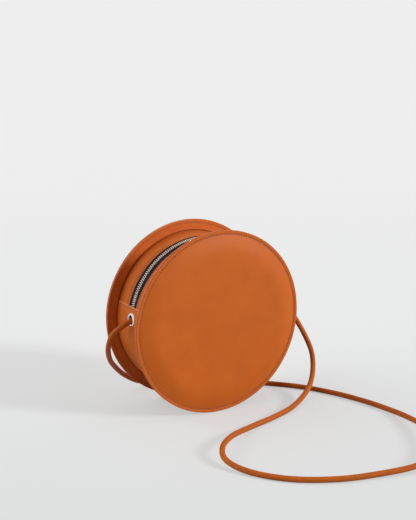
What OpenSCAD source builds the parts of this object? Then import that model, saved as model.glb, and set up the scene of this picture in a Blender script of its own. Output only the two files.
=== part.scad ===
// Round leather shoulder bag: two stiff discs joined by a narrower side strip, with a zip in the top of
// the strip and one round leather strap whose ends are knotted inside an eyelet at each side.
// X runs to the right, Y to the back and Z up. The origin is under the middle of the bag, on the floor.

/* [Body] */
// Radius of the front and back panels, and the height of the bag's axis
panel_r = 95; // [90:0.5:110]
// Depth over the two rims
rim_depth = 68; // [60:1:90]
// How far the rims stand out past the side strip
rim_w = 11; // [9:0.25:13]
// Thickness of the leather
leather_t = 1.5; // [1.2:0.05:1.7]
// Rise of each face inside its seam
crown_h = 4.4; // [3:0.1:5]
// How far the edge of the board that keeps each face flat lies inside the panel's edge
board_in = 28; // [24:0.5:32]
// Thickness of that board
board_t = 1.4; // [1:0.1:1.8]
// Thickness of the lining
lining_t = 0.6; // [0.4:0.05:0.7]

/* [Seams] */
// Distance of the seam from the rim's edge
seam_in = 3.5; // [3:0.1:4]
// Thickness of the thread
thread_d = 0.6; // [0.4:0.05:0.8]
// Length of one stitch with the gap after it
stitch_pitch = 3; // [2.6:0.1:5]
// Gap between two stitches
stitch_gap = 0.6; // [0.4:0.05:0.9]
// Width of the seam allowance inside the bag
seam_allow = 4.5; // [3:0.1:6]
// Distance along the side from the level of the bag's axis up to the cross seams
cross_seam_up = 20.2; // [20:0.1:22]
// Length of the zip panels under the ends of the lower strip
lap_len = 4.5; // [4:0.1:4.8]
// Drop from the lower strip to the zip panels
lap_step = 0.8; // [0.75:0.05:1]

/* [Zip] */
// Width of the opening that shows the zip
zip_gap_w = 15.2; // [12.5:0.1:16]
// How far the middle of the zip lies behind the middle of the side
zip_back = 2.8; // [0:0.1:3]
// Width of one tape
tape_w = 15; // [10:0.5:18]
// Thickness of the tapes
tape_t = 0.7; // [0.5:0.05:0.7]
// Width over both rows of teeth
teeth_w = 5.2; // [4.8:0.1:5.4]
// Thickness of the teeth
teeth_t = 2.4; // [2.3:0.05:2.5]
// Distance from one tooth to the next on one side
teeth_pitch = 2.17; // [2.1:0.01:2.6]
// Length of the slider
slider_l = 10; // [9:0.1:10.2]
// Width of the slider
slider_w = 8.6; // [8.4:0.1:9.4]
// Length of the pull from its pin to its tip
pull_l = 11; // [9:0.1:11.2]
// Width of the pull
pull_w = 4.2; // [3.4:0.1:5]

/* [Strap] */
// Diameter of the round leather strap
strap_d = 5.5; // [4.5:0.1:5.5]
// Diameter of the knot inside each eyelet
knot_d = 13; // [11:0.5:14]
// Distance along the side from the level of the bag's axis up to the middle of the eyelets
eyelet_up = 7.7; // [7:0.1:7.8]
// Diameter of the hole in an eyelet
eyelet_bore_d = 8; // [7.5:0.1:8.4]
// Diameter of an eyelet's ring
eyelet_ring_d = 13.5; // [12.5:0.1:13.6]
// Height of the ring over the leather
eyelet_ring_h = 0.9; // [0.6:0.1:1.2]

/* [Hidden] */
$fn = 96;

tan_leather = [0.76, 0.38, 0.16];
strap_leather = [0.60, 0.28, 0.13];
thread_tan = [0.58, 0.27, 0.11];
board_grey = [0.55, 0.53, 0.50];
lining_beige = [0.80, 0.72, 0.60];
tape_navy = [0.09, 0.09, 0.13];
silver = [0.80, 0.80, 0.80];

// Clearance between pieces that lie on each other, between moving pieces, and an overrun for cuts
fit = 0.1;
run_gap = 0.3;
pin_gap = 0.06;
over = 1;

// Depths are measured forward from the bag's middle. Each face steps in at its foot, outside the board.
rim_v = rim_depth / 2;
face_v = rim_v + crown_h;
ring_v = rim_v - 2 * leather_t;
board_r = panel_r - board_in;
flat_gap = 1;
flat_r = board_r + flat_gap;
foot_gap = 2.5;
foot_r = panel_r - seam_in - foot_gap;
shoulder_steps = 8;
seam_r = panel_r - seam_in;
groove_w = thread_d + 4 * fit;
groove_d = thread_d + fit;
stitches = round(2 * PI * seam_r / stitch_pitch);

// Radii of the side's layers, from the outside in
side_r = panel_r - rim_w;
side_in = side_r - leather_t;
zip_panel_r = side_r - lap_step;
zip_panel_in = zip_panel_r - leather_t;
tape_r = zip_panel_in - fit;
tape_in = tape_r - tape_t;
zip_lining_r = tape_in - fit;
zip_lining_in = zip_lining_r - lining_t;
low_lining_r = side_in - fit;
low_lining_in = low_lining_r - lining_t;
ring_in = side_in - seam_allow;
face_lining_r = zip_lining_in - fit;
lining_v = ring_v - fit;
cross_seam_a = cross_seam_up / side_r * 180 / PI;
eyelet_a = eyelet_up / side_r * 180 / PI;
lap_a = lap_len / side_in * 180 / PI;
tape_a = cross_seam_a - lap_a;
lining_gap_a = 0.6;

// Edges of the opening, each measured from the middle of the side to its own rim
front_edge_v = zip_gap_w / 2 - zip_back;
back_edge_v = zip_gap_w / 2 + zip_back;

// Zip: the teeth are centred on the tape's thickness
teeth_mid_r = (tape_r + tape_in) / 2;
teeth_r = teeth_mid_r + teeth_t / 2;
teeth_in = teeth_mid_r - teeth_t / 2;
tape_edge = 0.8;
tooth_gap = 0.12;
tooth_w = teeth_pitch / 2 - tooth_gap;
tooth_reach = 0.5;
head_trim = 0.35;
pitch_a = teeth_pitch / teeth_mid_r * 180 / PI;
plate_t = 1.1;
plate_corner = 1.6;
top_plate_r = teeth_r + run_gap;
low_plate_r = teeth_in - run_gap;
cheek_w = 1.1;
neck_l = 1.2;
neck_w = 1;
neck_in = 1;
slider_half_a = slider_l / 2 / top_plate_r * 180 / PI;
slider_end_gap_a = 0.75;
slider_a = cross_seam_a + slider_half_a + slider_end_gap_a;
neck_a = (slider_l / 2 - neck_in) / teeth_mid_r * 180 / PI;
neck_half_a = neck_l / 2 / teeth_mid_r * 180 / PI;
teeth_gap_a = 0.35;
teeth_from_a = slider_a - neck_a + neck_half_a + teeth_gap_a;
stop_l = 1.3;
stop_half_a = stop_l / 2 / teeth_mid_r * 180 / PI;
bottom_stop_a = 180 - tape_a - stop_half_a - lining_gap_a;
teeth_to_a = bottom_stop_a - stop_half_a - teeth_gap_a;
teeth_count = floor((teeth_to_a - teeth_from_a) / pitch_a);

// Slider's lugs and the pull that turns between them
lug_w = 0.9;
lug_l = 2.6;
lug_gap_w = 2.8;
pin_d = 1;
pivot_up = 1.3;
pivot_r = top_plate_r + plate_t + pivot_up;
pull_t = 1;
eye_d = 2;
pull_neck_l = 3;
pull_lean_a = 5;
pull_hole_d = 1.6;
pull_hole_in = 2.4;

// Eyelets: the ring lies on the strip, the barrel goes through it, and the flare holds the washer
ring_r = eyelet_ring_d / 2;
bore_r = eyelet_bore_d / 2;
barrel_t = 0.5;
barrel_r = bore_r + barrel_t;
washer_t = 1;
washer_r = sqrt(pow(low_lining_in, 2) - pow(ring_r, 2)) - fit;
flare_t = 0.4;
flare_w = 0.9;
flare_r = washer_r - washer_t - fit;
dome_steps = 10;

// Strap: a route along its middle, from the knot inside the left eyelet, down and round behind the bag,
// forward under its right side, round in front, and up to the knot inside the right eyelet
STRAP_ROUTE = [
    [-73, 0, 103.5], [-84, 0, 102], [-94, 2, 96], [-101, 7, 87.5], [-101.5, 14, 77],
    [-98, 24, 64.5], [-88.5, 38.5, 48.5], [-73.5, 52.5, 32], [-59, 62, 19.5], [-41, 68, 8.5],
    [-18, 69, 3.3], [15, 57, 3], [50, 33.5, 3], [84, 1, 3], [109, -27, 3], [128, -60, 3],
    [141, -96, 3], [148, -132, 3.2], [146, -161, 5.5], [139, -196, 8.5], [124, -225, 9.5],
    [101, -243, 8], [76, -249, 5], [42, -242.5, 3.2], [3, -232, 3], [-33, -211, 3], [-57, -181, 3.2],
    [-65.5, -153, 5.5], [-57, -131.5, 8.5], [-33, -110, 7], [1, -93, 3.6], [36, -82, 3],
    [68, -69, 3.6], [98, -51.5, 9.5], [115.5, -36.5, 21], [124, -23, 38], [122, -12, 56],
    [113.5, -5, 75], [103.5, -1, 91.5], [94.5, 0, 98.5], [84, 0, 102], [73, 0, 103.5],
];
strap_sides = 10;
strap_steps = 2;
knot_r = knot_d / 2;
knot_at_r = flare_r - flare_t - run_gap - knot_r;
tail_l = 12;

// Turns a profile of radius and forward points about the bag's axis, from one angle to another
module turned(from = 0, to = 360)
    translate([0, 0, panel_r]) rotate([90, 0, 0]) rotate([0, 0, from])
        rotate_extrude(angle = to - from) children();

// A layer of the side: an arc of rectangular section
module side_layer(r_in, r_out, v_from, v_to, from, to)
    turned(from, to) translate([r_in, v_from]) square([r_out - r_in, v_to - v_from]);

// Stands children on the side at an angle: their Z points outward and their X down the right side
module outward(a, r) translate([0, 0, panel_r]) rotate([0, 90 - a, 0]) translate([0, 0, r]) children();

// Makes the back piece of a pair from the front one
module to_back() mirror([0, 1, 0]) children();

// Moves what is drawn about the middle of the side to the middle of the zip
module at_zip() translate([0, zip_back, 0]) children();

// Height of a face over the rim, at a share of the way down its shoulder
function shoulder(share) = crown_h * (1 + cos(180 * share)) / 2;

// The outer line of a face's shoulder, from the flat middle to the foot
function shoulder_line(drop) = [
    for (i = [0:shoulder_steps])
        let (share = i / shoulder_steps)
            [flat_r + (foot_r - flat_r) * share, rim_v + shoulder(share) - drop]
];

function reversed(list) = [for (i = [len(list) - 1:-1:0]) list[i]];

// Outline of a rectangle with round corners, centred on zero
function rounded(l, w, r, steps = 5) = [
    for (corner = [[1, 1, 0], [-1, 1, 90], [-1, -1, 180], [1, -1, 270]])
        for (i = [0:steps])
            let (a = corner[2] + 90 * i / steps)
                [corner[0] * (l / 2 - r) + r * cos(a), corner[1] * (w / 2 - r) + r * sin(a)]
];

module panel() {
    seam_groove = [
        [seam_r - groove_w / 2, rim_v], [seam_r - groove_w / 2, rim_v - groove_d],
        [seam_r + groove_w / 2, rim_v - groove_d], [seam_r + groove_w / 2, rim_v],
    ];
    outer = concat([[0, face_v]], shoulder_line(0), seam_groove, [[panel_r, rim_v]]);
    inner = concat([[0, face_v - leather_t]], shoulder_line(leather_t), [[panel_r, rim_v - leather_t]]);
    turned() polygon(concat(outer, reversed(inner)));
}

module front_panel() { color(tan_leather) panel(); }
module back_panel() { color(tan_leather) to_back() panel(); }

module board() {
    side_layer(0, board_r, face_v - leather_t - board_t, face_v - leather_t, 0, 360);
}

module front_board() { color(board_grey) board(); }
module back_board() { color(board_grey) to_back() board(); }

module face_lining() {
    side_layer(0, face_lining_r, lining_v - lining_t, lining_v, 0, 360);
}

module front_lining() { color(lining_beige) face_lining(); }
module back_lining() { color(lining_beige) to_back() face_lining(); }

// Second layer of a rim: its inner edge is the seam allowance that the side strip is sewn to
module rim_ring() {
    side_layer(ring_in, panel_r, ring_v, ring_v + leather_t, 0, 360);
}

module front_rim_ring() { color(tan_leather) rim_ring(); }
module back_rim_ring() { color(tan_leather) to_back() rim_ring(); }

// Stitches of a rim's seam, each lying along the bottom of the groove
module seam_stitches() {
    for (i = [0:stitches - 1])
        outward(360 * i / stitches, seam_r)
            translate([0, -(rim_v - groove_d + thread_d / 2 + fit / 2), 0]) rotate([0, 90, 0])
                cylinder(h = stitch_pitch - stitch_gap, d = thread_d, center = true, $fn = 16);
}

module front_stitches() { color(thread_tan) seam_stitches(); }
module back_stitches() { color(thread_tan) to_back() seam_stitches(); }

// Lower part of the side, round under the bag from one cross seam to the other, with a hole for each
// eyelet
module lower_strip() {
    color(tan_leather)
        difference() {
            side_layer(side_in, side_r, -ring_v, ring_v, 180 - cross_seam_a, 360 + cross_seam_a);
            for (a = [eyelet_a, 180 - eyelet_a])
                outward(a, side_in - over)
                    cylinder(h = leather_t + 2 * over, r = barrel_r + fit);
        }
}

// Zip panel: its ends are pared thin and run on under the lower strip
module zip_panel(edge_v) {
    difference() {
        side_layer(zip_panel_in, zip_panel_r, edge_v, ring_v, tape_a, 180 - tape_a);
        for (from = [0, 180 - cross_seam_a])
            side_layer(
                side_in - fit, zip_panel_r + over, edge_v - over, ring_v + over,
                from, from + cross_seam_a
            );
    }
}

module zip_panel_front() { color(tan_leather) zip_panel(front_edge_v); }
module zip_panel_back() { color(tan_leather) to_back() zip_panel(back_edge_v); }

module lower_strip_lining() {
    color(lining_beige)
        difference() {
            side_layer(
                low_lining_in, low_lining_r, -lining_v, lining_v,
                180 - tape_a + lining_gap_a, 360 + tape_a - lining_gap_a
            );
            for (a = [eyelet_a, 180 - eyelet_a])
                outward(a, low_lining_in - over)
                    cylinder(h = lining_t + 2 * over, r = barrel_r + fit);
        }
}

module zip_lining(edge_v) {
    side_layer(zip_lining_in, zip_lining_r, edge_v, lining_v, cross_seam_a, 180 - cross_seam_a);
}

module zip_lining_front() { color(lining_beige) zip_lining(front_edge_v); }
module zip_lining_back() { color(lining_beige) to_back() zip_lining(back_edge_v); }

module zip_tape() {
    side_layer(tape_in, tape_r, tape_edge, tape_edge + tape_w, tape_a, 180 - tape_a);
}

module zip_tape_front() { color(tape_navy) at_zip() zip_tape(); }
module zip_tape_back() { color(tape_navy) at_zip() to_back() zip_tape(); }

// One tooth of the front row: a head that crosses the middle, and two jaws that hold the tape
module tooth(a) {
    jaw_up = tape_t / 2 + fit / 2;
    half_t = teeth_t / 2;
    head_t = half_t - head_trim;
    outline = [
        [-tooth_reach, -head_t], [tape_edge / 2, -half_t], [teeth_w / 2, -half_t],
        [teeth_w / 2, -jaw_up], [tape_edge - fit, -jaw_up], [tape_edge - fit, jaw_up],
        [teeth_w / 2, jaw_up], [teeth_w / 2, half_t], [tape_edge / 2, half_t],
        [-tooth_reach, head_t],
    ];
    outward(a, teeth_mid_r) rotate([90, 0, -90]) linear_extrude(height = tooth_w, center = true)
        polygon(outline);
}

module zip_teeth_front() {
    color(silver)
        at_zip()
            for (i = [0:teeth_count - 1]) tooth(teeth_from_a + pitch_a * (i + 1 / 4));
}

module zip_teeth_back() {
    color(silver)
        at_zip() to_back()
            for (i = [0:teeth_count - 1]) tooth(teeth_from_a + pitch_a * (i + 3 / 4));
}

module stop_block(w_from, w_to, a) {
    outward(a, teeth_mid_r) translate([-stop_l / 2, -w_to, -teeth_t / 2])
        cube([stop_l, w_to - w_from, teeth_t]);
}

// Bottom stop: one staple across both tapes, under the left end of the lower strip
module zip_bottom_stop() {
    color(silver)
        at_zip() difference() {
            stop_block(-teeth_w / 2, teeth_w / 2, bottom_stop_a);
            for (side = [-1, 1])
                outward(bottom_stop_a, teeth_mid_r)
                    translate([-stop_l, side > 0 ? tape_edge - fit : -teeth_w, -tape_t / 2 - fit])
                        cube([2 * stop_l, teeth_w - tape_edge + fit, tape_t + 2 * fit]);
        }
}

// Top stops: a small clip on the edge of each tape, beside the slider's neck
module zip_top_stops() {
    color(silver)
        at_zip() for (side = [0, 1])
            mirror([0, side, 0])
                difference() {
                    stop_block(neck_w / 2 + run_gap / 2, teeth_w / 2, slider_a - neck_a);
                    outward(slider_a - neck_a, teeth_mid_r)
                        translate([-stop_l, -teeth_w, -tape_t / 2 - fit])
                            cube([2 * stop_l, teeth_w - tape_edge + fit, tape_t + 2 * fit]);
                }
}

// Slider: two plates joined by the neck, cheeks beside the teeth, and two lugs that hold the pull's pin
module zip_slider() {
    low_cheek_h = tape_in - run_gap - low_plate_r;
    top_cheek_h = top_plate_r - tape_r - run_gap;
    color(silver)
        at_zip() outward(slider_a, 0) {
            for (z = [top_plate_r, low_plate_r - plate_t])
                translate([0, 0, z]) linear_extrude(height = plate_t)
                    polygon(rounded(slider_l, slider_w, plate_corner));
            for (side = [-1, 1]) {
                cheek_y = side > 0 ? slider_w / 2 - cheek_w : -slider_w / 2;
                cheek_l = slider_l - 2 * plate_corner;
                translate([-cheek_l / 2, cheek_y, top_plate_r - top_cheek_h])
                    cube([cheek_l, cheek_w, top_cheek_h]);
                translate([-cheek_l / 2, cheek_y, low_plate_r])
                    cube([cheek_l, cheek_w, low_cheek_h]);
                slider_lug(side);
            }
            translate([slider_l / 2 - neck_in - neck_l / 2, -neck_w / 2, low_plate_r])
                cube([neck_l, neck_w, top_plate_r - low_plate_r]);
        }
}

module slider_lug(side) {
    lug_y = side > 0 ? lug_gap_w / 2 + lug_w : -lug_gap_w / 2;
    translate([0, lug_y, top_plate_r + plate_t]) rotate([90, 0, 0])
        difference() {
            union() {
                translate([-lug_l / 2, 0, 0]) cube([lug_l, pivot_up, lug_w]);
                translate([0, pivot_up, 0]) cylinder(h = lug_w, d = lug_l, $fn = 48);
            }
            translate([0, pivot_up, -over])
                cylinder(h = lug_w + 2 * over, d = pin_d + 2 * pin_gap, $fn = 48);
        }
}

// Pull: a flat tab on a pin between the lugs. It hangs down the side and leans on the leather.
module zip_pull() {
    pin_l = lug_gap_w + 2 * lug_w;
    eye_l = lug_gap_w - 2 * run_gap;
    outline = [
        [0, eye_l / 2], [pull_neck_l / 2, eye_l / 2], [pull_neck_l, pull_w / 2],
        [pull_l - pull_w / 2, pull_w / 2],
        for (i = [1:7]) [pull_l - pull_w / 2 * (1 - sin(22.5 * i)), pull_w / 2 * cos(22.5 * i)],
        [pull_l - pull_w / 2, -pull_w / 2], [pull_neck_l, -pull_w / 2],
        [pull_neck_l / 2, -eye_l / 2], [0, -eye_l / 2],
    ];
    color(silver)
        at_zip() outward(slider_a, pivot_r) rotate([0, pull_lean_a, 0]) {
            difference() {
                translate([0, 0, -pull_t / 2]) linear_extrude(height = pull_t) polygon(outline);
                translate([pull_l - pull_hole_in, 0, -over])
                    cylinder(h = 2 * over, d = pull_hole_d, $fn = 32);
            }
            rotate([90, 0, 0]) cylinder(h = eye_l, d = eye_d, center = true, $fn = 48);
            rotate([90, 0, 0]) cylinder(h = pin_l, d = pin_d, center = true, $fn = 48);
        }
}

// Eyelet: a domed ring outside, a barrel through leather and lining, and a flare over the washer
module eyelet(a) {
    dome_mid = (ring_r + bore_r) / 2;
    dome_half = (ring_r - bore_r) / 2;
    dome = [
        for (i = [0:dome_steps])
            let (t = 180 * i / dome_steps)
                [dome_mid + dome_half * cos(t), side_r + eyelet_ring_h * sin(t)]
    ];
    barrel = [
        [bore_r, flare_r - flare_t], [barrel_r + flare_w, flare_r - flare_t],
        [barrel_r + flare_w, flare_r], [barrel_r, flare_r], [barrel_r, side_r],
    ];
    color(silver) outward(a, 0) rotate_extrude() polygon(concat(barrel, dome));
}

module eyelet_left() { eyelet(180 - eyelet_a); }
module eyelet_right() { eyelet(eyelet_a); }

module eyelet_washer(a) {
    color(silver)
        outward(a, washer_r - washer_t)
            difference() {
                cylinder(h = washer_t, r = ring_r);
                translate([0, 0, -over]) cylinder(h = washer_t + 2 * over, r = barrel_r + fit);
            }
}

module eyelet_washer_left() { eyelet_washer(180 - eyelet_a); }
module eyelet_washer_right() { eyelet_washer(eyelet_a); }

// Points of a smooth line through the route, a few steps to each stretch
function route_point(r, i) =
    i < 0 ? 2 * r[0] - r[1] : i >= len(r) ? 2 * r[len(r) - 1] - r[len(r) - 2] : r[i];
function smooth_at(a, b, c, d, t) =
    (2 * b + (c - a) * t + (2 * a - 5 * b + 4 * c - d) * t * t
        + (3 * b - a - 3 * c + d) * t * t * t) / 2;
function smooth_line(r, steps) = concat(
    [
        for (i = [0:len(r) - 2], k = [0:steps - 1])
            smooth_at(
                route_point(r, i - 1), r[i], r[i + 1], route_point(r, i + 2), k / steps
            )
    ],
    [r[len(r) - 1]]
);

// Direction of the line at each point, and a sideways vector carried along it without twist
function unit(v) = v / norm(v);
function heading(p, i) = unit(p[min(i + 1, len(p) - 1)] - p[max(i - 1, 0)]);
function squared_off(v, t) = unit(v - (v * t) * t);
function carried(p) = [
    for (i = 0, s = squared_off([0, 1, 0], heading(p, 0)); i < len(p);
        i = i + 1, s = i < len(p) ? squared_off(s, heading(p, i)) : s) s
];

// A tube of a few sides swept along the points
module tube(points, d, sides) {
    side = carried(points);
    rings = [
        for (i = [0:len(points) - 1], k = [0:sides - 1])
            let (up = cross(heading(points, i), side[i]), a = 360 * k / sides)
                points[i] + d / 2 * (cos(a) * side[i] + sin(a) * up)
    ];
    last = (len(points) - 1) * sides;
    walls = [
        for (i = [0:len(points) - 2], k = [0:sides - 1])
            let (a = i * sides + k, b = i * sides + (k + 1) % sides)
                for (face = [[a, a + sides, b], [b, a + sides, b + sides]]) face
    ];
    start_cap = [for (k = [1:sides - 2]) [0, k, k + 1]];
    end_cap = [for (k = [1:sides - 2]) [last, last + k + 1, last + k]];
    polyhedron(rings, concat(walls, start_cap, end_cap));
}

module strap() { color(strap_leather) tube(smooth_line(STRAP_ROUTE, strap_steps), strap_d, strap_sides); }

// Knot behind an eyelet, with the cut tail of the strap
module knot(a) {
    color(strap_leather)
        outward(a, knot_at_r) {
            sphere(r = knot_r);
            rotate([0, 180, 0]) cylinder(h = tail_l, d = strap_d);
        }
}

module knot_left() { knot(180 - eyelet_a); }
module knot_right() { knot(eyelet_a); }

front_panel();
back_panel();
front_board();
back_board();
front_lining();
back_lining();
front_rim_ring();
back_rim_ring();
front_stitches();
back_stitches();
lower_strip();
zip_panel_front();
zip_panel_back();
lower_strip_lining();
zip_lining_front();
zip_lining_back();
zip_tape_front();
zip_tape_back();
zip_teeth_front();
zip_teeth_back();
zip_bottom_stop();
zip_top_stops();
zip_slider();
zip_pull();
eyelet_left();
eyelet_right();
eyelet_washer_left();
eyelet_washer_right();
strap();
knot_left();
knot_right();
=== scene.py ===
import math

import bmesh
import bpy
import numpy as np
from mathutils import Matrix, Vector, noise


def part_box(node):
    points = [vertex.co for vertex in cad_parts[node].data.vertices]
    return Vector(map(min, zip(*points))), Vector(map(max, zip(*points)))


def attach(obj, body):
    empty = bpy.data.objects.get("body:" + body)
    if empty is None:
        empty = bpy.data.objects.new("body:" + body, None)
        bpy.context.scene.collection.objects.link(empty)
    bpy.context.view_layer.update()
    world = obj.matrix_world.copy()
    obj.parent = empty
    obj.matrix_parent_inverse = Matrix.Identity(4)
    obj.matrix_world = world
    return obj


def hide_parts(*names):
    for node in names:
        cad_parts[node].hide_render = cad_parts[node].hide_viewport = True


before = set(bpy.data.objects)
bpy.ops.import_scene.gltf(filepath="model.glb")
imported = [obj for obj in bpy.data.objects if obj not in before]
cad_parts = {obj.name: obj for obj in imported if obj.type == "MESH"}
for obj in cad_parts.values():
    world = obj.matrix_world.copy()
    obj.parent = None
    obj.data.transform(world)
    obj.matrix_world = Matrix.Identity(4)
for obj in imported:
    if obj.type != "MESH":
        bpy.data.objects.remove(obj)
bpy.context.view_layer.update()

# All lengths are in metres. A depth is measured forward from the bag's middle, so it is minus Y.
# Angles go round the bag's axis from the right side, over the top, to the left side, in degrees.
# A piece's way is where it faces, forward at the front of the bag and back at its back.
MM = 0.001
FRONT, BACK = 1, -1


# Camera, at the photograph's place
CAMERA_AT = (-0.5577, -0.9410, 0.4244)
CAMERA_TOWARD = (0.4988, 0.8326, -0.2406)
CAMERA_LENS = 76.154
CAMERA_SENSOR = 36


def put(name, data, toward=None):
    """Adds an object to the scene. A camera or lamp can look toward a direction."""
    made = bpy.data.objects.new(name, data)
    bpy.context.scene.collection.objects.link(made)
    if toward:
        made.rotation_mode = "QUATERNION"
        made.rotation_quaternion = Vector(toward).to_track_quat("-Z", "Y")
    return made


def make_camera():
    data = bpy.data.cameras.new("camera")
    data.sensor_width = CAMERA_SENSOR
    data.lens = CAMERA_LENS
    camera = put("camera", data, CAMERA_TOWARD)
    camera.location = CAMERA_AT
    bpy.context.scene.camera = camera


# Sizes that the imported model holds
def points_of(cad_node):
    return np.array([v.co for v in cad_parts[cad_node].data.vertices], float)


low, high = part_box("front_panel")
AXIS_Z = (low.z + high.z) / 2


def turned_box(cad_node):
    """The radii, depths and angles between which a node lies."""
    x, y, z = points_of(cad_node).T
    radius = np.hypot(x, z - AXIS_Z)
    angle = np.degrees(np.arctan2(z - AXIS_Z, x))
    return radius.min(), radius.max(), -y.max(), -y.min(), angle.min(), angle.max()


PANEL_R = high.x
FACE_V = -low.y
RIM_UNDER_V = -high.y
_, _, RING_V, _, _, _ = turned_box("front_rim_ring")
LEATHER_T = RIM_UNDER_V - RING_V
RIM_V = RIM_UNDER_V + LEATHER_T
SIDE_IN, SIDE_R, _, _, _, _ = turned_box("lower_strip")
ZIP_PANEL_IN, ZIP_PANEL_R, front_edge_v, _, ZIP_FROM_A, ZIP_TO_A = turned_box("zip_panel_front")
_, _, _, back_edge_v, _, _ = turned_box("zip_panel_back")
ZIP_LINING_IN, ZIP_LINING_R, _, LINING_V, SEAM_A, _ = turned_box("zip_lining_front")
TAPE_IN, TAPE_R, tape_from_v, tape_to_v, _, _ = turned_box("zip_tape_front")
_, _, _, back_tape_from_v, _, _ = turned_box("zip_tape_back")
TEETH_IN, TEETH_R, teeth_from_v, teeth_to_v, _, _ = turned_box("zip_teeth_front")

# The zip's own middle, from which its tapes and teeth are measured. The edges of the opening are
# measured from the middle of the side, each to its own rim. The front one has drawn back a little
# where no cross seam holds it.
ZIP_V = (tape_from_v + back_tape_from_v) / 2
TAPE_FROM, TAPE_TO = tape_from_v - ZIP_V, tape_to_v - ZIP_V
TEETH_FROM, TEETH_TO = teeth_from_v - ZIP_V, teeth_to_v - ZIP_V
EDGE_EASED = 0.9 * MM
ZIP_EDGE = {FRONT: front_edge_v + EDGE_EASED, BACK: -back_edge_v}
_, FACE_LINING_R, FACE_LINING_V, _, _, _ = turned_box("front_lining")
LOW_LINING_R = SIDE_IN - (TAPE_IN - ZIP_LINING_R)
LOW_LINING_IN = LOW_LINING_R - (ZIP_LINING_R - ZIP_LINING_IN)
FLARE_R, _, _, RING_HALF, _, _ = turned_box("eyelet_right")
washer_low, washer_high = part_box("eyelet_washer_right")
washer_mid = (washer_low + washer_high) / 2
EYELET_A = math.degrees(math.atan2(washer_mid.z - AXIS_Z, washer_mid.x))

# Seams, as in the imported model
SEAM_IN = 3.5 * MM
FOOT_IN = 4.3 * MM
LAP_W = 4.5 * MM
SEAM_R = PANEL_R - SEAM_IN
FOOT_R = PANEL_R - FOOT_IN
RING_IN = SIDE_IN - LAP_W
STITCH_PITCH = 3 * MM
STITCHES = round(2 * math.pi * SEAM_R / STITCH_PITCH)
THREAD_R = 0.33 * MM


def place(a, r, v):
    """Points at angles, radii and depths; any of them can be an array."""
    a, r, v = np.broadcast_arrays(np.radians(a), r, v)
    return np.stack([r * np.cos(a), -v, AXIS_Z + r * np.sin(a)], axis=-1)


def outward(a):
    """The way out from the bag's axis at an angle."""
    return place(a, 1, 0) - (0, 0, AXIS_Z)


# Meshes
WELD_WITHIN = 1e-7
SHARP_A = 40


class Piece:
    """Points and faces that are gathered and then made into one object."""

    def __init__(self):
        self.points, self.faces, self.marks, self.grain, self.count = [], [], [], [], 0

    def add(self, points, faces, marks, grain=None):
        self.points.append(points)
        self.faces += [tuple(int(k) + self.count for k in face) for face in faces]
        self.marks += list(marks)
        self.grain.append(np.zeros((len(points), 3)) if grain is None else grain)
        self.count += len(points)

    def sweep(
        self, rings, ring_closed=False, points_closed=True, caps=False, marks=0, cap_mark=0, grain=None
    ):
        """Skins rings of points, an array of rings by points by 3. marks gives each strip its material."""
        n, m = rings.shape[:2]
        i = np.arange(n if ring_closed else n - 1)[:, None]
        k = np.arange(m if points_closed else m - 1)[None]
        next_i, next_k = (i + 1) % n, (k + 1) % m
        quads = np.stack([i * m + k, i * m + next_k, next_i * m + next_k, next_i * m + k], axis=-1)
        faces = [tuple(f) for f in quads.reshape(-1, 4)]
        face_marks = list(np.broadcast_to(marks, (len(i), k.shape[1])).ravel())
        if caps:
            faces += [tuple(range(m))[::-1], tuple(range((n - 1) * m, n * m))]
            face_marks += [cap_mark, cap_mark]
        self.add(rings.reshape(-1, 3), faces, face_marks, None if grain is None else grain.reshape(-1, 3))

    def copies(self, mesh, frames):
        """Adds a small mesh, which is its points, faces and grain, once for each frame. A frame is a place
        and three axes, as the rows of a 4 by 3 array."""
        points, faces, grain = mesh
        for f in frames:
            self.add(f[0] + points @ f[1:], faces, [0] * len(faces), grain)

    def make(self, name, materials, slot=None, stands_for=(), sharp=SHARP_A):
        """Makes the object, which rides the bag. Edges sharper than sharp, in degrees, stay sharp."""
        mesh = bpy.data.meshes.new(name)
        mesh.from_pydata(np.concatenate(self.points).tolist(), [], self.faces)
        for material in materials:
            mesh.materials.append(material)
        mesh.polygons.foreach_set("material_index", np.array(self.marks, np.int32))
        grain = mesh.attributes.new("grain", "FLOAT_VECTOR", "POINT")
        grain.data.foreach_set("vector", np.concatenate(self.grain).astype(np.float32).ravel())
        b = bmesh.new()
        b.from_mesh(mesh)
        bmesh.ops.remove_doubles(b, verts=b.verts, dist=WELD_WITHIN)
        bmesh.ops.recalc_face_normals(b, faces=b.faces)
        b.to_mesh(mesh)
        b.free()
        mesh.shade_smooth()
        mesh.set_sharp_from_angle(angle=math.radians(sharp))
        made = put(name, mesh)
        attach(made, "bag")
        if stands_for:
            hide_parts(*stands_for)
        return made


def cut(piece, cutter):
    """Cuts a closed mesh out of a piece and deletes it."""
    modifier = piece.modifiers.new("hole", "BOOLEAN")
    modifier.object = cutter
    modifier.solver = "EXACT"
    graph = bpy.context.evaluated_depsgraph_get()
    evaluated = piece.evaluated_get(graph)
    mesh = bpy.data.meshes.new_from_object(evaluated, preserve_all_data_layers=True, depsgraph=graph)
    piece.modifiers.clear()
    piece.data = mesh
    bpy.data.objects.remove(cutter)


def rolled(from_edge, r):
    """How far a surface has rolled in: r at its edge and 0 from a distance r on."""
    t = np.clip(1 - from_edge / r, 0, 1)
    return r * (1 - np.sqrt(1 - t * t))


def roll_steps(r, count):
    """Places from 0 to r, closest together at the start, where a rolled edge is steepest."""
    return r * (1 - np.cos(np.linspace(0, math.pi / 2, count)))


def eased(t):
    """0 to 1, with a soft start and end."""
    return t * t * (3 - 2 * t)


def ripple(points, size, height):
    """A smooth random height at each point."""
    heights = [height * noise.noise(Vector(p / size)) for p in points.reshape(-1, 3)]
    return np.array(heights).reshape(points.shape[:-1])


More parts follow.
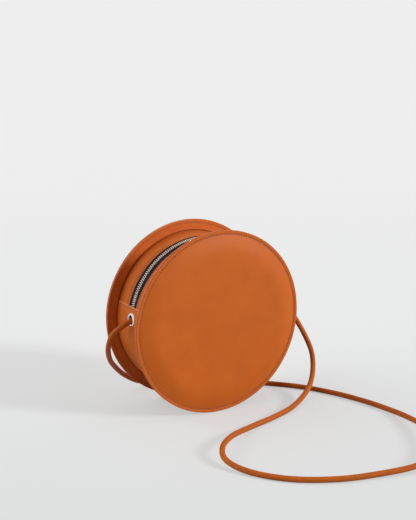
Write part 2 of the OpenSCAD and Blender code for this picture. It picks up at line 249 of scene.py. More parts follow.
# Materials. A wave texture runs through this many radians a metre at a scale of 1.
WAVE_RATE = 20
PORE = 0.16 * MM
PEBBLE = 0.45 * MM
WRINKLE = 2.2 * MM
FIBRE = 0.25 * MM


def new_material(name):
    material = bpy.data.materials.new(name)
    material.use_nodes = True
    tree = material.node_tree
    return material, tree, tree.nodes["Principled BSDF"]


def feed(tree, made, inputs):
    """Sets a node's inputs to values, or links them from sockets."""
    for key, value in inputs.items():
        if isinstance(value, bpy.types.NodeSocket):
            tree.links.new(value, made.inputs[key])
        else:
            made.inputs[key].default_value = value


def node(tree, kind, inputs=None, **settings):
    """Adds a node. inputs holds values, or sockets to link from."""
    made = tree.nodes.new(kind)
    for key, value in settings.items():
        setattr(made, key, value)
    feed(tree, made, inputs or {})
    return made


def linear(r, g, b):
    """A colour that is written as on a screen, 0 to 255."""
    shares = (r / 255, g / 255, b / 255)
    return tuple(x / 12.92 if x < 0.04045 else ((x + 0.055) / 1.055) ** 2.4 for x in shares) + (1,)


def ramp(tree, fac, *stops):
    made = node(tree, "ShaderNodeValToRGB", {0: fac})
    made.color_ramp.elements.remove(made.color_ramp.elements[1])
    for i, (at, colour) in enumerate(stops):
        element = made.color_ramp.elements[0] if i == 0 else made.color_ramp.elements.new(at)
        element.position = at
        element.color = colour
    return made.outputs[0]


def spans(tree, value, low, high):
    """A value from 0 to 1 spread between two others."""
    return node(tree, "ShaderNodeMapRange", {0: value, 3: low, 4: high}).outputs[0]


def mixed(tree, fac, a, b, blend="MIX"):
    made = node(tree, "ShaderNodeMix", {0: fac, 6: a, 7: b}, data_type="RGBA", blend_type=blend)
    return made.outputs[2]


def maths(tree, operation, a, b, **settings):
    return node(tree, "ShaderNodeMath", {0: a, 1: b}, operation=operation, **settings).outputs[0]


def object_place(tree):
    return node(tree, "ShaderNodeTexCoord").outputs["Object"]


def grain_place(tree):
    """The way round and along a cord or thread, along and across a strip, or over a disc."""
    return node(tree, "ShaderNodeAttribute", attribute_name="grain").outputs["Vector"]


def noisy(tree, at, scale, detail=3, roughness=0.5):
    return node(
        tree, "ShaderNodeTexNoise", {"Vector": at, "Scale": scale, "Detail": detail, "Roughness": roughness}
    ).outputs["Fac"]


def bump(tree, shader, *layers):
    """Stacks bumps. Each layer is a height from 0 to 1, its depth in metres and its strength."""
    normal = None
    for height, depth, strength in layers:
        made = node(tree, "ShaderNodeBump", {"Height": height, "Distance": depth, "Strength": strength})
        if normal is not None:
            tree.links.new(normal, made.inputs["Normal"])
        normal = made.outputs[0]
    tree.links.new(normal, shader.inputs["Normal"])


def leather(name, pale, base, deep, rough):
    """Smooth dyed leather: fine pebbled grain, pores, and a slow change of tone."""
    material, tree, shader = new_material(name)
    at = object_place(tree)
    tone = noisy(tree, at, 42, 4, 0.55)
    colour = ramp(tree, tone, (0.28, deep), (0.5, base), (0.74, pale))
    pebbles = {"Vector": at, "Scale": 1 / PEBBLE}
    cells = node(tree, "ShaderNodeTexVoronoi", pebbles, feature="SMOOTH_F1").outputs["Distance"]
    pores = noisy(tree, at, 1 / PORE, 2)
    wrinkles = noisy(tree, at, 1 / WRINKLE, 3, 0.6)
    speck = spans(tree, pores, 0.93, 1.07)
    specks = node(tree, "ShaderNodeCombineColor", {0: speck, 1: speck, 2: speck}).outputs[0]
    colour = mixed(tree, 1.0, colour, specks, "MULTIPLY")
    dull = spans(tree, tone, *rough)
    feed(tree, shader, {"Base Color": colour, "Roughness": dull, "Specular IOR Level": 0.22})
    bump(tree, shader, (wrinkles, 0.05 * MM, 0.35), (cells, 0.035 * MM, 0.4), (pores, 0.012 * MM, 0.4))
    return material


def raw_edge(name, pale, deep):
    """The cut edge of the leather: fine fibres, with paler and darker patches. In darker colours it also
    gives the painted shade in needle slots and creases.
    """
    material, tree, shader = new_material(name)
    at = object_place(tree)
    fibres = noisy(tree, at, 1 / FIBRE, 4, 0.7)
    patches = noisy(tree, at, 1 / (4 * MM), 3)
    colour = ramp(tree, mixed(tree, 0.5, fibres, patches), (0.35, deep), (0.65, pale))
    feed(tree, shader, {"Base Color": colour, "Roughness": 0.62, "Specular IOR Level": 0.25})
    bump(tree, shader, (fibres, 0.06 * MM, 0.5))
    return material


def strap_material():
    """Round rolled leather: grain drawn out along the cord, and a slow change of tone."""
    material, tree, shader = new_material("strap_leather")
    streak = noisy(tree, grain_place(tree), 2.2, 4, 0.6)
    at = object_place(tree)
    patch = noisy(tree, at, 28, 3)
    tone = mixed(tree, 0.45, streak, patch)
    deep, base, pale = linear(167, 81, 21), linear(185, 92, 26), linear(204, 106, 34)
    colour = ramp(tree, tone, (0.3, deep), (0.5, base), (0.72, pale))
    dull = spans(tree, streak, 0.38, 0.56)
    feed(tree, shader, {"Base Color": colour, "Roughness": dull, "Specular IOR Level": 0.14})
    pores = noisy(tree, at, 1 / (0.2 * MM), 2)
    bump(tree, shader, (streak, 0.06 * MM, 0.5), (pores, 0.02 * MM, 0.4))
    return material


def thread_material():
    """Waxed two-ply thread: the twist comes from a wave round and along it."""
    material, tree, shader = new_material("thread")
    ply = {"Vector": grain_place(tree), "Scale": 1.0, "Distortion": 0.4}
    twist = node(tree, "ShaderNodeTexWave", ply, bands_direction="DIAGONAL").outputs["Fac"]
    tone = mixed(tree, 0.5, twist, noisy(tree, object_place(tree), 1 / (1.1 * MM), 2))
    colour = ramp(tree, tone, (0.25, linear(170, 82, 32)), (0.75, linear(206, 112, 50)))
    feed(tree, shader, {"Base Color": colour, "Roughness": 0.55, "Sheen Weight": 0.15})
    bump(tree, shader, (twist, 0.06 * MM, 0.6))
    return material


def woven(name, pale, deep, radian, rough, sheen):
    """Plain weave of warp and weft, from two crossed waves. radian is the length of a radian of them."""
    material, tree, shader = new_material(name)
    yarn = {"Vector": grain_place(tree), "Scale": 1 / radian / WAVE_RATE, "Distortion": 0.6, "Detail": 2}
    warp, weft = (
        node(tree, "ShaderNodeTexWave", yarn, bands_direction=way).outputs["Fac"] for way in ("X", "Y")
    )
    weave = mixed(tree, 1.0, warp, weft, "MULTIPLY")
    tone = noisy(tree, object_place(tree), 60, 3)
    colour = ramp(tree, mixed(tree, 0.35, weave, tone), (0.2, deep), (0.8, pale))
    look = {"Base Color": colour, "Roughness": rough, "Specular IOR Level": 0.2, "Sheen Weight": sheen}
    feed(tree, shader, look)
    bump(tree, shader, (weave, 0.08 * MM, 0.6))
    return material


def metal(name, pale, deep, rough):
    """Plated metal with fine polishing lines and a few duller patches."""
    material, tree, shader = new_material(name)
    at = object_place(tree)
    patch = noisy(tree, at, 1 / (2.5 * MM), 3)
    drawn = node(tree, "ShaderNodeMapping", {"Vector": at, "Scale": (1, 9, 1)}).outputs[0]
    lines = noisy(tree, drawn, 1 / (0.6 * MM), 2)
    colour = ramp(tree, patch, (0.3, deep), (0.6, pale))
    feed(tree, shader, {"Base Color": colour, "Roughness": spans(tree, patch, *rough), "Metallic": 1})
    bump(tree, shader, (lines, 0.008 * MM, 0.25))
    return material


def board_material():
    """Bonded leather board: pressed fibres."""
    material, tree, shader = new_material("bonded_board")
    at = object_place(tree)
    cells = {"Vector": at, "Scale": 1 / (0.9 * MM)}
    fibre = node(tree, "ShaderNodeTexVoronoi", cells, feature="F1").outputs["Distance"]
    tone = mixed(tree, 0.5, fibre, noisy(tree, at, 180, 4))
    colour = ramp(tree, tone, (0.2, linear(96, 88, 80)), (0.7, linear(158, 150, 138)))
    feed(tree, shader, {"Base Color": colour, "Roughness": 0.9})
    bump(tree, shader, (fibre, 0.1 * MM, 0.5))
    return material


DULL, DULLER = (0.46, 0.62), (0.52, 0.68)
TAN = leather("tan_leather", linear(208, 104, 31), linear(204, 100, 28), linear(199, 96, 26), DULL)
SIDE_TAN = leather("side_leather", linear(205, 104, 32), linear(199, 99, 28), linear(191, 93, 26), DULLER)
RAW = raw_edge("raw_edge", linear(226, 170, 112), linear(196, 122, 70))
FACE_EDGE = raw_edge("face_edge", linear(178, 86, 44), linear(156, 68, 32))
RIM_EDGE = raw_edge("rim_edge", linear(222, 130, 84), linear(200, 108, 64))
# Partly painted light: the rings' leather, the tan made a little brighter to stand in for the light on the
# rims' inner faces.
RIM_TAN_PAINTED_LIGHT = leather("rim_leather_painted_light", linear(214, 109, 40), linear(208, 104, 36), linear(200, 98, 33), DULLER)
# Painted shade: the pierced leather in the needle slots of panels and rings, darkened to stand in for the
# shade in the holes.
NEEDLE_SLOT_SHADE = raw_edge("needle_slot_shade", linear(162, 74, 30), linear(132, 58, 23))
RIM_SLOT_SHADE = raw_edge("rim_slot_shade", linear(190, 92, 34), linear(170, 80, 29))
# Painted shade: darker leather for the crease where a side strip meets a rim ring.
CREASE_PAINTED_SHADE = raw_edge("crease_shade", linear(160, 72, 25), linear(132, 56, 20))
STRAP = strap_material()
THREAD = thread_material()
LINING = woven("lining_cloth", linear(206, 190, 162), linear(160, 142, 116), 0.5 * MM, 0.85, 0.2)
TAPE = woven("zip_tape", linear(40, 34, 50), linear(14, 12, 24), 0.45 * MM, 0.8, 0.0)
ZIP_METAL = metal("zip_metal", linear(252, 246, 234), linear(232, 224, 208), (0.2, 0.34))
EYELET_METAL = metal("eyelet_metal", linear(250, 250, 250), linear(232, 232, 234), (0.14, 0.26))
# Painted shade: the eyelet's plated metal, darkened where it lies inside the hole.
SHADED_BARREL_METAL = metal("eyelet_barrel_shade", linear(84, 76, 70), linear(52, 46, 42), (0.4, 0.6))
BOARD = board_material()


# Strap: the route's points, from the knot inside the left eyelet to the knot inside the right one
STRAP_ROUTE = [
    (-0.073, 0, 0.1032), (-0.084, 0, 0.1012), (-0.094, 0.002, 0.0955), (-0.101, 0.007, 0.0875),
    (-0.1015, 0.014, 0.077), (-0.098, 0.024, 0.0645), (-0.0885, 0.0385, 0.0485),
    (-0.0735, 0.0525, 0.032), (-0.059, 0.062, 0.0195), (-0.041, 0.068, 0.0085), (-0.018, 0.069, 0.0033),
    (0.015, 0.057, 0.003), (0.05, 0.0335, 0.003), (0.084, 0.001, 0.003), (0.109, -0.027, 0.003),
    (0.128, -0.06, 0.003), (0.141, -0.096, 0.003), (0.148, -0.132, 0.0032), (0.146, -0.161, 0.0055),
    (0.139, -0.196, 0.0085), (0.124, -0.225, 0.0095), (0.101, -0.243, 0.008), (0.076, -0.249, 0.005),
    (0.042, -0.2425, 0.0032), (0.003, -0.232, 0.003), (-0.033, -0.211, 0.003), (-0.057, -0.181, 0.0032),
    (-0.0655, -0.153, 0.0055), (-0.057, -0.1315, 0.0085), (-0.033, -0.11, 0.007),
    (0.001, -0.093, 0.0036), (0.036, -0.082, 0.003), (0.068, -0.069, 0.0036), (0.098, -0.0515, 0.0095),
    (0.1155, -0.0365, 0.021), (0.124, -0.023, 0.038), (0.122, -0.012, 0.056), (0.1135, -0.005, 0.075),
    (0.1035, -0.001, 0.0915), (0.0945, 0, 0.0985), (0.084, 0, 0.102), (0.073, 0, 0.1035),
]
STRAP_D = 5.5 * MM
STRAP_STEPS = 10
STRAP_SIDES = 24
UNEVEN_SHARE = 0.015
UNEVEN_SIZE = 9 * MM
GRAIN_LENGTH = 12 * MM
KNOT_TIGHT_SHARE = 0.86
KNOT_LOOP = 2.2 * MM
KNOT_SWAY = 1.7 * MM
KNOT_LIFT = 1.9 * MM
TAIL_FROM = 2 * MM


def smooth_line(route, steps):
    """Points of a smooth line through the route."""
    p = np.array(route, float)
    p = np.vstack([2 * p[0] - p[1], p, 2 * p[-1] - p[-2]])
    a, b, c, d = (p[i : len(p) - 3 + i, None] for i in range(4))
    t = (np.arange(steps) / steps)[None, :, None]
    line = (2 * b + (c - a) * t + (2 * a - 5 * b + 4 * c - d) * t**2 + (3 * b - a - 3 * c + d) * t**3) / 2
    return np.vstack([line.reshape(-1, 3), p[-2]])


def unit(v):
    return v / np.linalg.norm(v, axis=-1, keepdims=True)


def tube_rings(line, radius, sides, first_side=(0, 1, 0)):
    """Rings of points round a line, with no twist, and the way round and along at each."""
    heading = unit(np.gradient(line, axis=0))
    side = np.zeros_like(line)
    s = np.array(first_side, float)
    for i, t in enumerate(heading):
        s = unit(s - (s @ t) * t)
        side[i] = s
    up = np.cross(heading, side)
    round_a = 2 * math.pi * np.arange(sides) / sides
    out = np.cos(round_a)[None, :, None] * side[:, None] + np.sin(round_a)[None, :, None] * up[:, None]
    rings = line[:, None] + np.reshape(radius, (-1, 1, 1)) * out
    along = np.concatenate([[0], np.cumsum(np.linalg.norm(np.diff(line, axis=0), axis=1))])
    grain = np.broadcast_arrays(np.cos(round_a), np.sin(round_a), along[:, None] / GRAIN_LENGTH)
    return rings, np.stack(grain, axis=-1)


def make_strap():
    line = smooth_line(STRAP_ROUTE, STRAP_STEPS)
    radius = STRAP_D / 2 * (1 + ripple(line, UNEVEN_SIZE, UNEVEN_SHARE))
    rings, grain = tube_rings(line, radius, STRAP_SIDES)
    piece = Piece()
    piece.sweep(rings, caps=True, grain=grain)
    return piece.make("round_strap", [STRAP], slot="strap_leather", stands_for=["strap"]), line


def knot_line():
    """The line of a tight overhand knot, which is a trefoil that is open at one place."""
    t = np.linspace(0.04, 0.96, 90) * 2 * math.pi
    across = KNOT_LOOP * np.sin(t) + KNOT_SWAY * np.sin(2 * t)
    up = KNOT_LOOP * np.cos(t) - KNOT_SWAY * np.cos(2 * t)
    return np.stack([KNOT_LIFT * np.sin(3 * t), across, up], axis=-1)


def make_knot(name, cad_node):
    """An overhand knot about the strap's end, and the cut tail beyond it."""
    low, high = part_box(cad_node)
    side = 1 if low.x > 0 else -1
    ball_r = (high.y - low.y) / 2
    outer_x = high.x if side > 0 else low.x
    inner_x = low.x if side > 0 else high.x
    a = math.radians(EYELET_A)
    out = np.array([side * math.cos(a), 0, math.sin(a)])
    up = np.array([-side * math.sin(a), 0, math.cos(a)])
    across = np.array([0, 1, 0])
    mid_r = (abs(outer_x) - ball_r) / math.cos(a)
    axis = np.array([0, 0, AXIS_Z])
    line = axis + mid_r * out + knot_line() @ np.array([out, across, up])
    piece = Piece()
    rings, grain = tube_rings(line, STRAP_D / 2 * KNOT_TIGHT_SHARE, 16, up)
    piece.sweep(rings, caps=True, grain=grain)
    tail_to = (abs(inner_x) + STRAP_D / 2 * math.sin(a)) / math.cos(a)
    tail = axis + np.linspace(mid_r - TAIL_FROM, tail_to, 8)[:, None] * out
    rings, grain = tube_rings(tail, STRAP_D / 2, 20, up)
    piece.sweep(rings, caps=True, cap_mark=1, grain=grain)
    return piece.make(name, [STRAP, RAW], slot="strap_leather", stands_for=[cad_node])


# Panels and rims
FLAT_R = 66 * MM
STEEP_R = 87 * MM
GROOVE_HALF = 1.2 * MM
GROOVE_DEPTH = 0.14 * MM
SLOT_HALF = 1.0 * MM
SLOT_DEPTH = 0.5 * MM
SLOT_SHARE = 0.2
EDGE_ROUND = 0.4 * MM
UNDER_ROUND = 0.6 * EDGE_ROUND
STEPS_PER_STITCH = 6
FACE_WAVE = 38 * MM
FACE_WAVE_HEIGHT = 0.16 * MM
FACE_WAVE_FADE = 20 * MM
# The band of a ring's inner face, beside the side strip, that gets the painted crease shade.
CREASE_SHADE_BAND = (SIDE_R - 1 * MM, SIDE_R + 0.5 * MM)

# A panel's and a ring's materials, of which the needle slots' and the crease's are painted shade, and the
# steps past the face where the cut edge starts and ends
FACE, CUT, IN_SLOT_SHADE, BEHIND, IN_CREASE_SHADE = range(5)
CUT_FROM, CUT_TO = 2, 7


def rim_angles():
    count = STITCHES * STEPS_PER_STITCH
    return np.arange(count) * 360 / count


def lean(profile_r):
    """How many steps round the rim a needle slot has leant over at a radius."""
    return (profile_r - SEAM_R) / SLOT_HALF


def needle_slots(profile_r):
    """1 where a stitch's end goes into the leather and 0 between, at each angle and radius."""
    phase = (rim_angles() * STITCHES / 360)[:, None] - lean(profile_r) / STEPS_PER_STITCH
    return np.clip(1 - np.abs(phase % 1 - 0.5) / SLOT_SHARE, 0, 1) ** 2


def dent(r, half):
    """1 in the middle of the seam, falling to 0 at a distance half from it."""
    return np.clip(1 - ((r - SEAM_R) / half) ** 2, 0, 1) ** 1.5


def seam_dents(profile_r, face_count, groove_depth):
    """How deep the seam's groove and needle slots lie in the face, at each angle and radius."""
    groove = groove_depth * dent(profile_r, GROOVE_HALF)
    slots = needle_slots(profile_r) * SLOT_DEPTH * dent(profile_r, SLOT_HALF)
    return np.where(np.arange(len(profile_r)) < face_count, groove + slots, 0)


def rim_marks(profile_r, face_count, crease_shade=(0, 0)):
    """The material of each strip of a panel or ring. The leather in each needle slot has its own, a painted
    shade, and so have the strips of the face that start between the crease's two radii, a painted shade
    that stands in for the shade in the crease."""
    marks = np.full(len(profile_r), BEHIND)
    marks[: face_count + CUT_TO] = CUT
    marks[: face_count + CUT_FROM] = FACE
    # Painted shade on the face strips in the crease.
    marks[(profile_r > crease_shade[0]) & (profile_r < crease_shade[1]) & (marks == FACE)] = IN_CREASE_SHADE
    step = np.arange(STITCHES * STEPS_PER_STITCH) % STEPS_PER_STITCH
    middle = (profile_r + np.roll(profile_r, -1)) / 2
    # Painted shade: the needle slots in the seam's groove get their darkened leather.
    slot_shade_steps = np.abs(step[:, None] + 0.5 - STEPS_PER_STITCH / 2 - np.round(lean(middle))) < 1
    slot_shade_radii = np.abs(middle - SEAM_R) < 0.95 * SLOT_HALF
    return np.where(slot_shade_steps & slot_shade_radii & (marks == FACE), IN_SLOT_SHADE, marks)


def quarter(r_mid, v_mid, radius, from_a, to_a, steps=5):
    """Radii and depths of points on part of a circle."""
    a = np.radians(np.linspace(from_a, to_a, steps))
    return np.stack([r_mid + radius * np.cos(a), v_mid + radius * np.sin(a)], axis=-1)


def face_line(r):
    """Depth of the face's outer surface: flat, then ever steeper, then as steep up to its foot."""
    at = np.linspace(FLAT_R, FOOT_R, 200)
    slope = eased(np.clip((at - FLAT_R) / (STEEP_R - FLAT_R), 0, 1))
    fallen = np.concatenate([[0], np.cumsum((slope[1:] + slope[:-1]) / 2)])
    return FACE_V - (FACE_V - RIM_V) * np.interp(r, at, fallen / fallen[-1])


def make_panel(name, cad_node, way):
    """A panel: outer surface with its seam groove, rounded and cut edge, and inner surface."""
    face_r = np.concatenate(
        [
            np.linspace(0, FLAT_R, 8, endpoint=False),
            np.linspace(FLAT_R, FOOT_R, 22, endpoint=False),
            np.linspace(FOOT_R, SEAM_R - GROOVE_HALF, 4, endpoint=False),
            np.linspace(SEAM_R - GROOVE_HALF, SEAM_R + GROOVE_HALF, 11),
            np.linspace(SEAM_R + GROOVE_HALF, PANEL_R - EDGE_ROUND, 4)[1:-1],
        ]
    )
    inner_r = np.concatenate([[SEAM_R], np.linspace(FOOT_R, FLAT_R, 14), [0]])
    profile = np.concatenate(
        [
            np.stack([face_r, face_line(face_r)], axis=-1),
            quarter(PANEL_R - EDGE_ROUND, RIM_V - EDGE_ROUND, EDGE_ROUND, 90, 0),
            quarter(PANEL_R - UNDER_ROUND, RIM_UNDER_V + UNDER_ROUND, UNDER_ROUND, 0, -90),
            np.stack([inner_r, face_line(inner_r) - LEATHER_T], axis=-1),
        ]
    )
    r, v = profile.T
    depths = v - seam_dents(r, len(face_r), GROOVE_DEPTH)
    points = place(rim_angles()[:, None], r, way * depths)
    fade = np.clip((FOOT_R - r) / FACE_WAVE_FADE, 0, 1)
    points[..., 1] -= way * ripple(points, FACE_WAVE, FACE_WAVE_HEIGHT) * fade
    marks = rim_marks(r, len(face_r))[:, :-1]
    piece = Piece()
    piece.sweep(points, ring_closed=True, points_closed=False, marks=marks)
    # The third material is the needle slots' painted shade.
    piece.make(name, [TAN, FACE_EDGE, NEEDLE_SLOT_SHADE, TAN], slot="tan_leather", stands_for=[cad_node])


def make_rim_ring(name, cad_node, way):
    """The rim's second layer, with the bobbin side of the seam pressed into its inner face."""
    face_r = np.concatenate(
        [
            np.linspace(RING_IN + UNDER_ROUND, SIDE_R - 0.9 * MM, 4),
            np.linspace(SIDE_R + 0.1 * MM, SIDE_R + 1.3 * MM, 4),
            np.linspace(SIDE_R + 2.6 * MM, SEAM_R - GROOVE_HALF, 3, endpoint=False),
            np.linspace(SEAM_R - GROOVE_HALF, SEAM_R + GROOVE_HALF, 9),
            np.linspace(SEAM_R + GROOVE_HALF, PANEL_R - EDGE_ROUND, 4)[1:-1],
        ]
    )
    profile = np.concatenate(
        [
            np.stack([face_r, np.full(len(face_r), RING_V)], axis=-1),
            quarter(PANEL_R - EDGE_ROUND, RING_V + EDGE_ROUND, EDGE_ROUND, -90, 0),
            quarter(PANEL_R - UNDER_ROUND, RIM_UNDER_V - UNDER_ROUND, UNDER_ROUND, 0, 90),
            [[SEAM_R, RIM_UNDER_V]],
            quarter(RING_IN + UNDER_ROUND, RIM_UNDER_V - UNDER_ROUND, UNDER_ROUND, 90, 180),
            quarter(RING_IN + UNDER_ROUND, RING_V + UNDER_ROUND, UNDER_ROUND, 180, 270)[:-1],
        ]
    )
    r, v = profile.T
    depths = v + seam_dents(r, len(face_r), GROOVE_DEPTH / 2)
    marks = rim_marks(r, len(face_r), CREASE_SHADE_BAND)
    piece = Piece()
    piece.sweep(place(rim_angles()[:, None], r, way * depths), ring_closed=True, marks=marks)
    # The rings' leather is partly painted light; their needle slots and crease strips are painted shade.
    made_of = [RIM_TAN_PAINTED_LIGHT, RIM_EDGE, RIM_SLOT_SHADE, RIM_TAN_PAINTED_LIGHT, CREASE_PAINTED_SHADE]
    piece.make(name, made_of, slot="tan_leather", stands_for=[cad_node])


# Side strips. Their materials are leather, its cut edge, and painted shade for the crease along a rim.
EDGE_ROLL = 1.3 * MM
EDGE_FALL = 1.25 * MM
EDGE_FALL_W = 4 * MM
HELD_A = 24
HELD_SHIFT = 1.2 * MM
HELD_FALL = 0.5
CUT_ROUND = 0.28 * MM
STRIP_ROUND = 0.7 * MM
ZIP_SEAM_IN = 3.0 * MM
CROSS_SEAM_IN = 2.6 * MM
SEAM_PRESS_W = 0.5 * MM
ZIP_SEAM_PRESS = 0.14 * MM
CROSS_SEAM_PRESS = 0.16 * MM
NEAR_ZIP_SEAM = 1.2 * MM
NEAR_CROSS_SEAM = 1.5 * MM
FINE_STEP = 0.3 * MM
SIDE_WAVE = 26 * MM
STRIP_WAVE_HEIGHT = 0.16 * MM
ZIP_WAVE_HEIGHT = 0.14 * MM
RIM_FADE = 8 * MM
END_FADE = 10 * MM
EDGE_FADE = 6 * MM
PARED_R = SIDE_IN - 0.1 * MM
# The second of these marks is painted shade, and so are the strips that the next line counts along each
# rim's crease.
SIDE_CUT, SIDE_CREASE_SHADE = 1, 2
CREASE_SHADE_STRIPS = 3


def shell(angles, depths, outer, inner, side_marks=(0, 0), cap_mark=0, end_strips=0, shaded_strips=(0, 0)):
    """A curved strip: outer and inner are radii, and outer is an array of angles by depths. Its first and
    last strips can share the caps' material, and those along its two sides a painted shade, darker
    leather that stands in for the shade in the creases at the rims."""
    m = outer.shape[1]
    v = np.broadcast_to(depths, outer.shape)
    v = np.concatenate([v, v[:, ::-1]], axis=1)
    r = np.concatenate([outer, np.broadcast_to(inner, outer.shape)[:, ::-1]], axis=1)
    a = np.broadcast_to(angles[:, None], r.shape)
    marks = np.zeros((len(angles) - 1, 2 * m), int)
    marks[:end_strips] = cap_mark
    marks[len(marks) - end_strips :] = cap_mark
    # Painted shade on the strips along both sides, in the creases.
    marks[:, : shaded_strips[0]] = SIDE_CREASE_SHADE
    marks[:, m - 1 - shaded_strips[1] : m - 1] = SIDE_CREASE_SHADE
    marks[:, m - 1] = side_marks[1]
    marks[:, 2 * m - 1] = side_marks[0]
    piece = Piece()
    grain = np.stack([np.radians(a) * SIDE_R, v, np.zeros_like(v)], axis=-1)
    piece.sweep(place(a, r, v), caps=True, marks=marks, cap_mark=cap_mark, grain=grain)
    return piece


def spread_angles(start, end, step):
    return np.linspace(start, end, max(2, math.ceil(abs(end - start) / step) + 1))


def arc(length):
    """The angle that an arc of that length spans on the side."""
    return np.degrees(length / SIDE_R)


def pressed(from_seam, depth):
    """How far a seam has pressed the leather in, at a distance from it."""
    return depth * np.exp(-((from_seam / SEAM_PRESS_W) ** 2))


def make_lower_strip():
    """The side from eyelet to eyelet under the bag, rolled in at the rims and cut at both ends."""
    start, end = 180 - SEAM_A, 360 + SEAM_A
    lip = start + arc(roll_steps(STRIP_ROUND, 6))
    seam = spread_angles(lip[-1], start + arc(CROSS_SEAM_IN + NEAR_CROSS_SEAM), arc(FINE_STEP))[1:]
    left = np.concatenate([lip, seam])
    right = (start + end - left)[::-1]
    angles = np.concatenate([left, spread_angles(left[-1], right[0], 0.6)[1:-1], right])
    rise = roll_steps(EDGE_ROLL, 7) - RING_V
    middle = np.linspace(rise[-1], -rise[-1], 42)[1:-1]
    depths = np.concatenate([rise, middle, -rise[::-1]])
    from_rim = RING_V - np.abs(depths)
    from_end = np.radians(np.minimum(angles - start, end - angles)) * SIDE_R
    drop = rolled(from_end, STRIP_ROUND) + pressed(from_end - CROSS_SEAM_IN, CROSS_SEAM_PRESS)
    outer = SIDE_R - rolled(from_rim, EDGE_ROLL) - drop[:, None]
    fade = np.clip(from_rim / RIM_FADE, 0, 1) * np.clip(from_end / END_FADE, 0, 1)[:, None]
    outer += ripple(place(angles[:, None], SIDE_R, depths), SIDE_WAVE, STRIP_WAVE_HEIGHT) * fade
    # The rolled strips at both rims get the painted crease shade.
    shaded_rolls = (CREASE_SHADE_STRIPS, CREASE_SHADE_STRIPS)
    piece = shell(
        angles, depths, outer, SIDE_IN, cap_mark=SIDE_CUT, end_strips=len(lip) - 1, shaded_strips=shaded_rolls
    )
    made = piece.make("side_strip", [SIDE_TAN, RAW, CREASE_PAINTED_SHADE], slot="tan_leather", stands_for=["lower_strip"])
    cut_eyelet_holes(made)
    made.data.shade_smooth()
    made.data.set_sharp_from_angle(angle=math.radians(SHARP_A))


def edge_fall(from_edge):
    """How far a zip panel's surface lies below its own radius, at a distance from its cut edge."""
    return EDGE_FALL * np.clip(1 - from_edge / EDGE_FALL_W, 0, 1) ** 2


def held(a):
    """How firmly a cross seam holds the zip panels' cut edges at an angle: from 1 at the seam to 0."""
    return 1 - eased(np.clip((np.minimum(a, 180 - a) - SEAM_A) / HELD_A, 0, 1))


def edge_shift(way, a):
    """How far a cut edge moves at an angle. The front one is nearer the zip where it is held."""
    return -HELD_SHIFT * held(a) if way == FRONT else 0 * a


def make_zip_panel(name, cad_node, way):
    """A zip panel, pressed down at its cut edge beside the zip, with pared ends under the lower strip."""
    edge = ZIP_EDGE[way]
    right_end = spread_angles(ZIP_FROM_A, SEAM_A, 1)[:-1]
    left_end = spread_angles(180 - SEAM_A, ZIP_TO_A, 1)[1:]
    angles = np.concatenate([right_end, spread_angles(SEAM_A, 180 - SEAM_A, 0.4), left_end])
    lip = edge + roll_steps(CUT_ROUND, 5)
    near_seam = edge + ZIP_SEAM_IN + np.linspace(-NEAR_ZIP_SEAM, NEAR_ZIP_SEAM, 9)
    middle = np.linspace(near_seam[-1], RING_V - EDGE_ROLL, 12)[1:-1]
    roll = (RING_V - roll_steps(EDGE_ROLL, 7))[::-1]
    depths = np.concatenate([lip, [(lip[-1] + near_seam[0]) / 2], near_seam, middle, roll])
    drop = rolled(depths - edge, CUT_ROUND) + rolled(RING_V - depths, EDGE_ROLL)
    drop += pressed(depths - edge - ZIP_SEAM_IN, ZIP_SEAM_PRESS)
    fall = edge_fall(depths - edge) * (1 - HELD_FALL * held(angles))[:, None]
    near_edge = np.clip((roll[0] - depths) / (roll[0] - near_seam[-1]), 0, 1)
    depths = depths + edge_shift(way, angles)[:, None] * near_edge
    surface = ZIP_PANEL_R - drop - fall
    shown = np.ones((len(angles), 1), bool)
    shown[: len(right_end)] = False
    shown[-len(left_end) :] = False
    outer = np.where(shown, surface, np.minimum(surface, PARED_R))
    fade = np.clip((RING_V - depths) / RIM_FADE, 0, 1) * np.clip((depths - edge) / EDGE_FADE, 0, 1)
    wave = ripple(place(angles[:, None], SIDE_R, way * depths), SIDE_WAVE, ZIP_WAVE_HEIGHT)
    outer += wave * fade * shown
    # The rolled strips at the rim get the painted crease shade.
    shaded_rolls = (0, CREASE_SHADE_STRIPS)
    piece = shell(angles, way * depths, outer, ZIP_PANEL_IN, side_marks=(SIDE_CUT, 0), shaded_strips=shaded_rolls)
    piece.make(name, [SIDE_TAN, RAW, CREASE_PAINTED_SHADE], slot="tan_leather", stands_for=[cad_node])


# Eyelets, turned about the way out at their angle
HOLE_R = 4.7 * MM
HOLE_PAST = 3 * MM
BORE_R = 4.0 * MM
BARREL_R = BORE_R + 0.5 * MM
LIP_R = 1.05 * MM
CROWN = SIDE_R + 0.85 * MM
SKIRT = SIDE_R - 0.3 * MM
FLARE_T = 0.35 * MM
BARREL_SHADE_FROM = SIDE_R - 0.9 * MM
EYELET_SHARP_A = 50


def turned_rings(profile, a, steps):
    """Rings of a profile of radius and height turned about an eyelet's axis."""
    round_a = 2 * math.pi * np.arange(steps)[:, None] / steps
    r, height = profile.T
    local = np.stack(np.broadcast_arrays(np.cos(round_a) * r, np.sin(round_a) * r, height), axis=-1)
    across = np.array([0, 1, 0])
    return (0, 0, AXIS_Z) + local @ np.array([np.cross(across, outward(a)), across, outward(a)])


def cut_eyelet_holes(piece):
    low, high = LOW_LINING_IN - HOLE_PAST, SIDE_R + HOLE_PAST
    profile = np.array([[0, low], [HOLE_R, low], [HOLE_R, high], [0, high]])
    for a in (EYELET_A, 180 - EYELET_A):
        cutter = Piece()
        cutter.sweep(turned_rings(profile, a, 48), ring_closed=True, points_closed=False)
        cut(piece, cutter.make("hole_cutter", []))


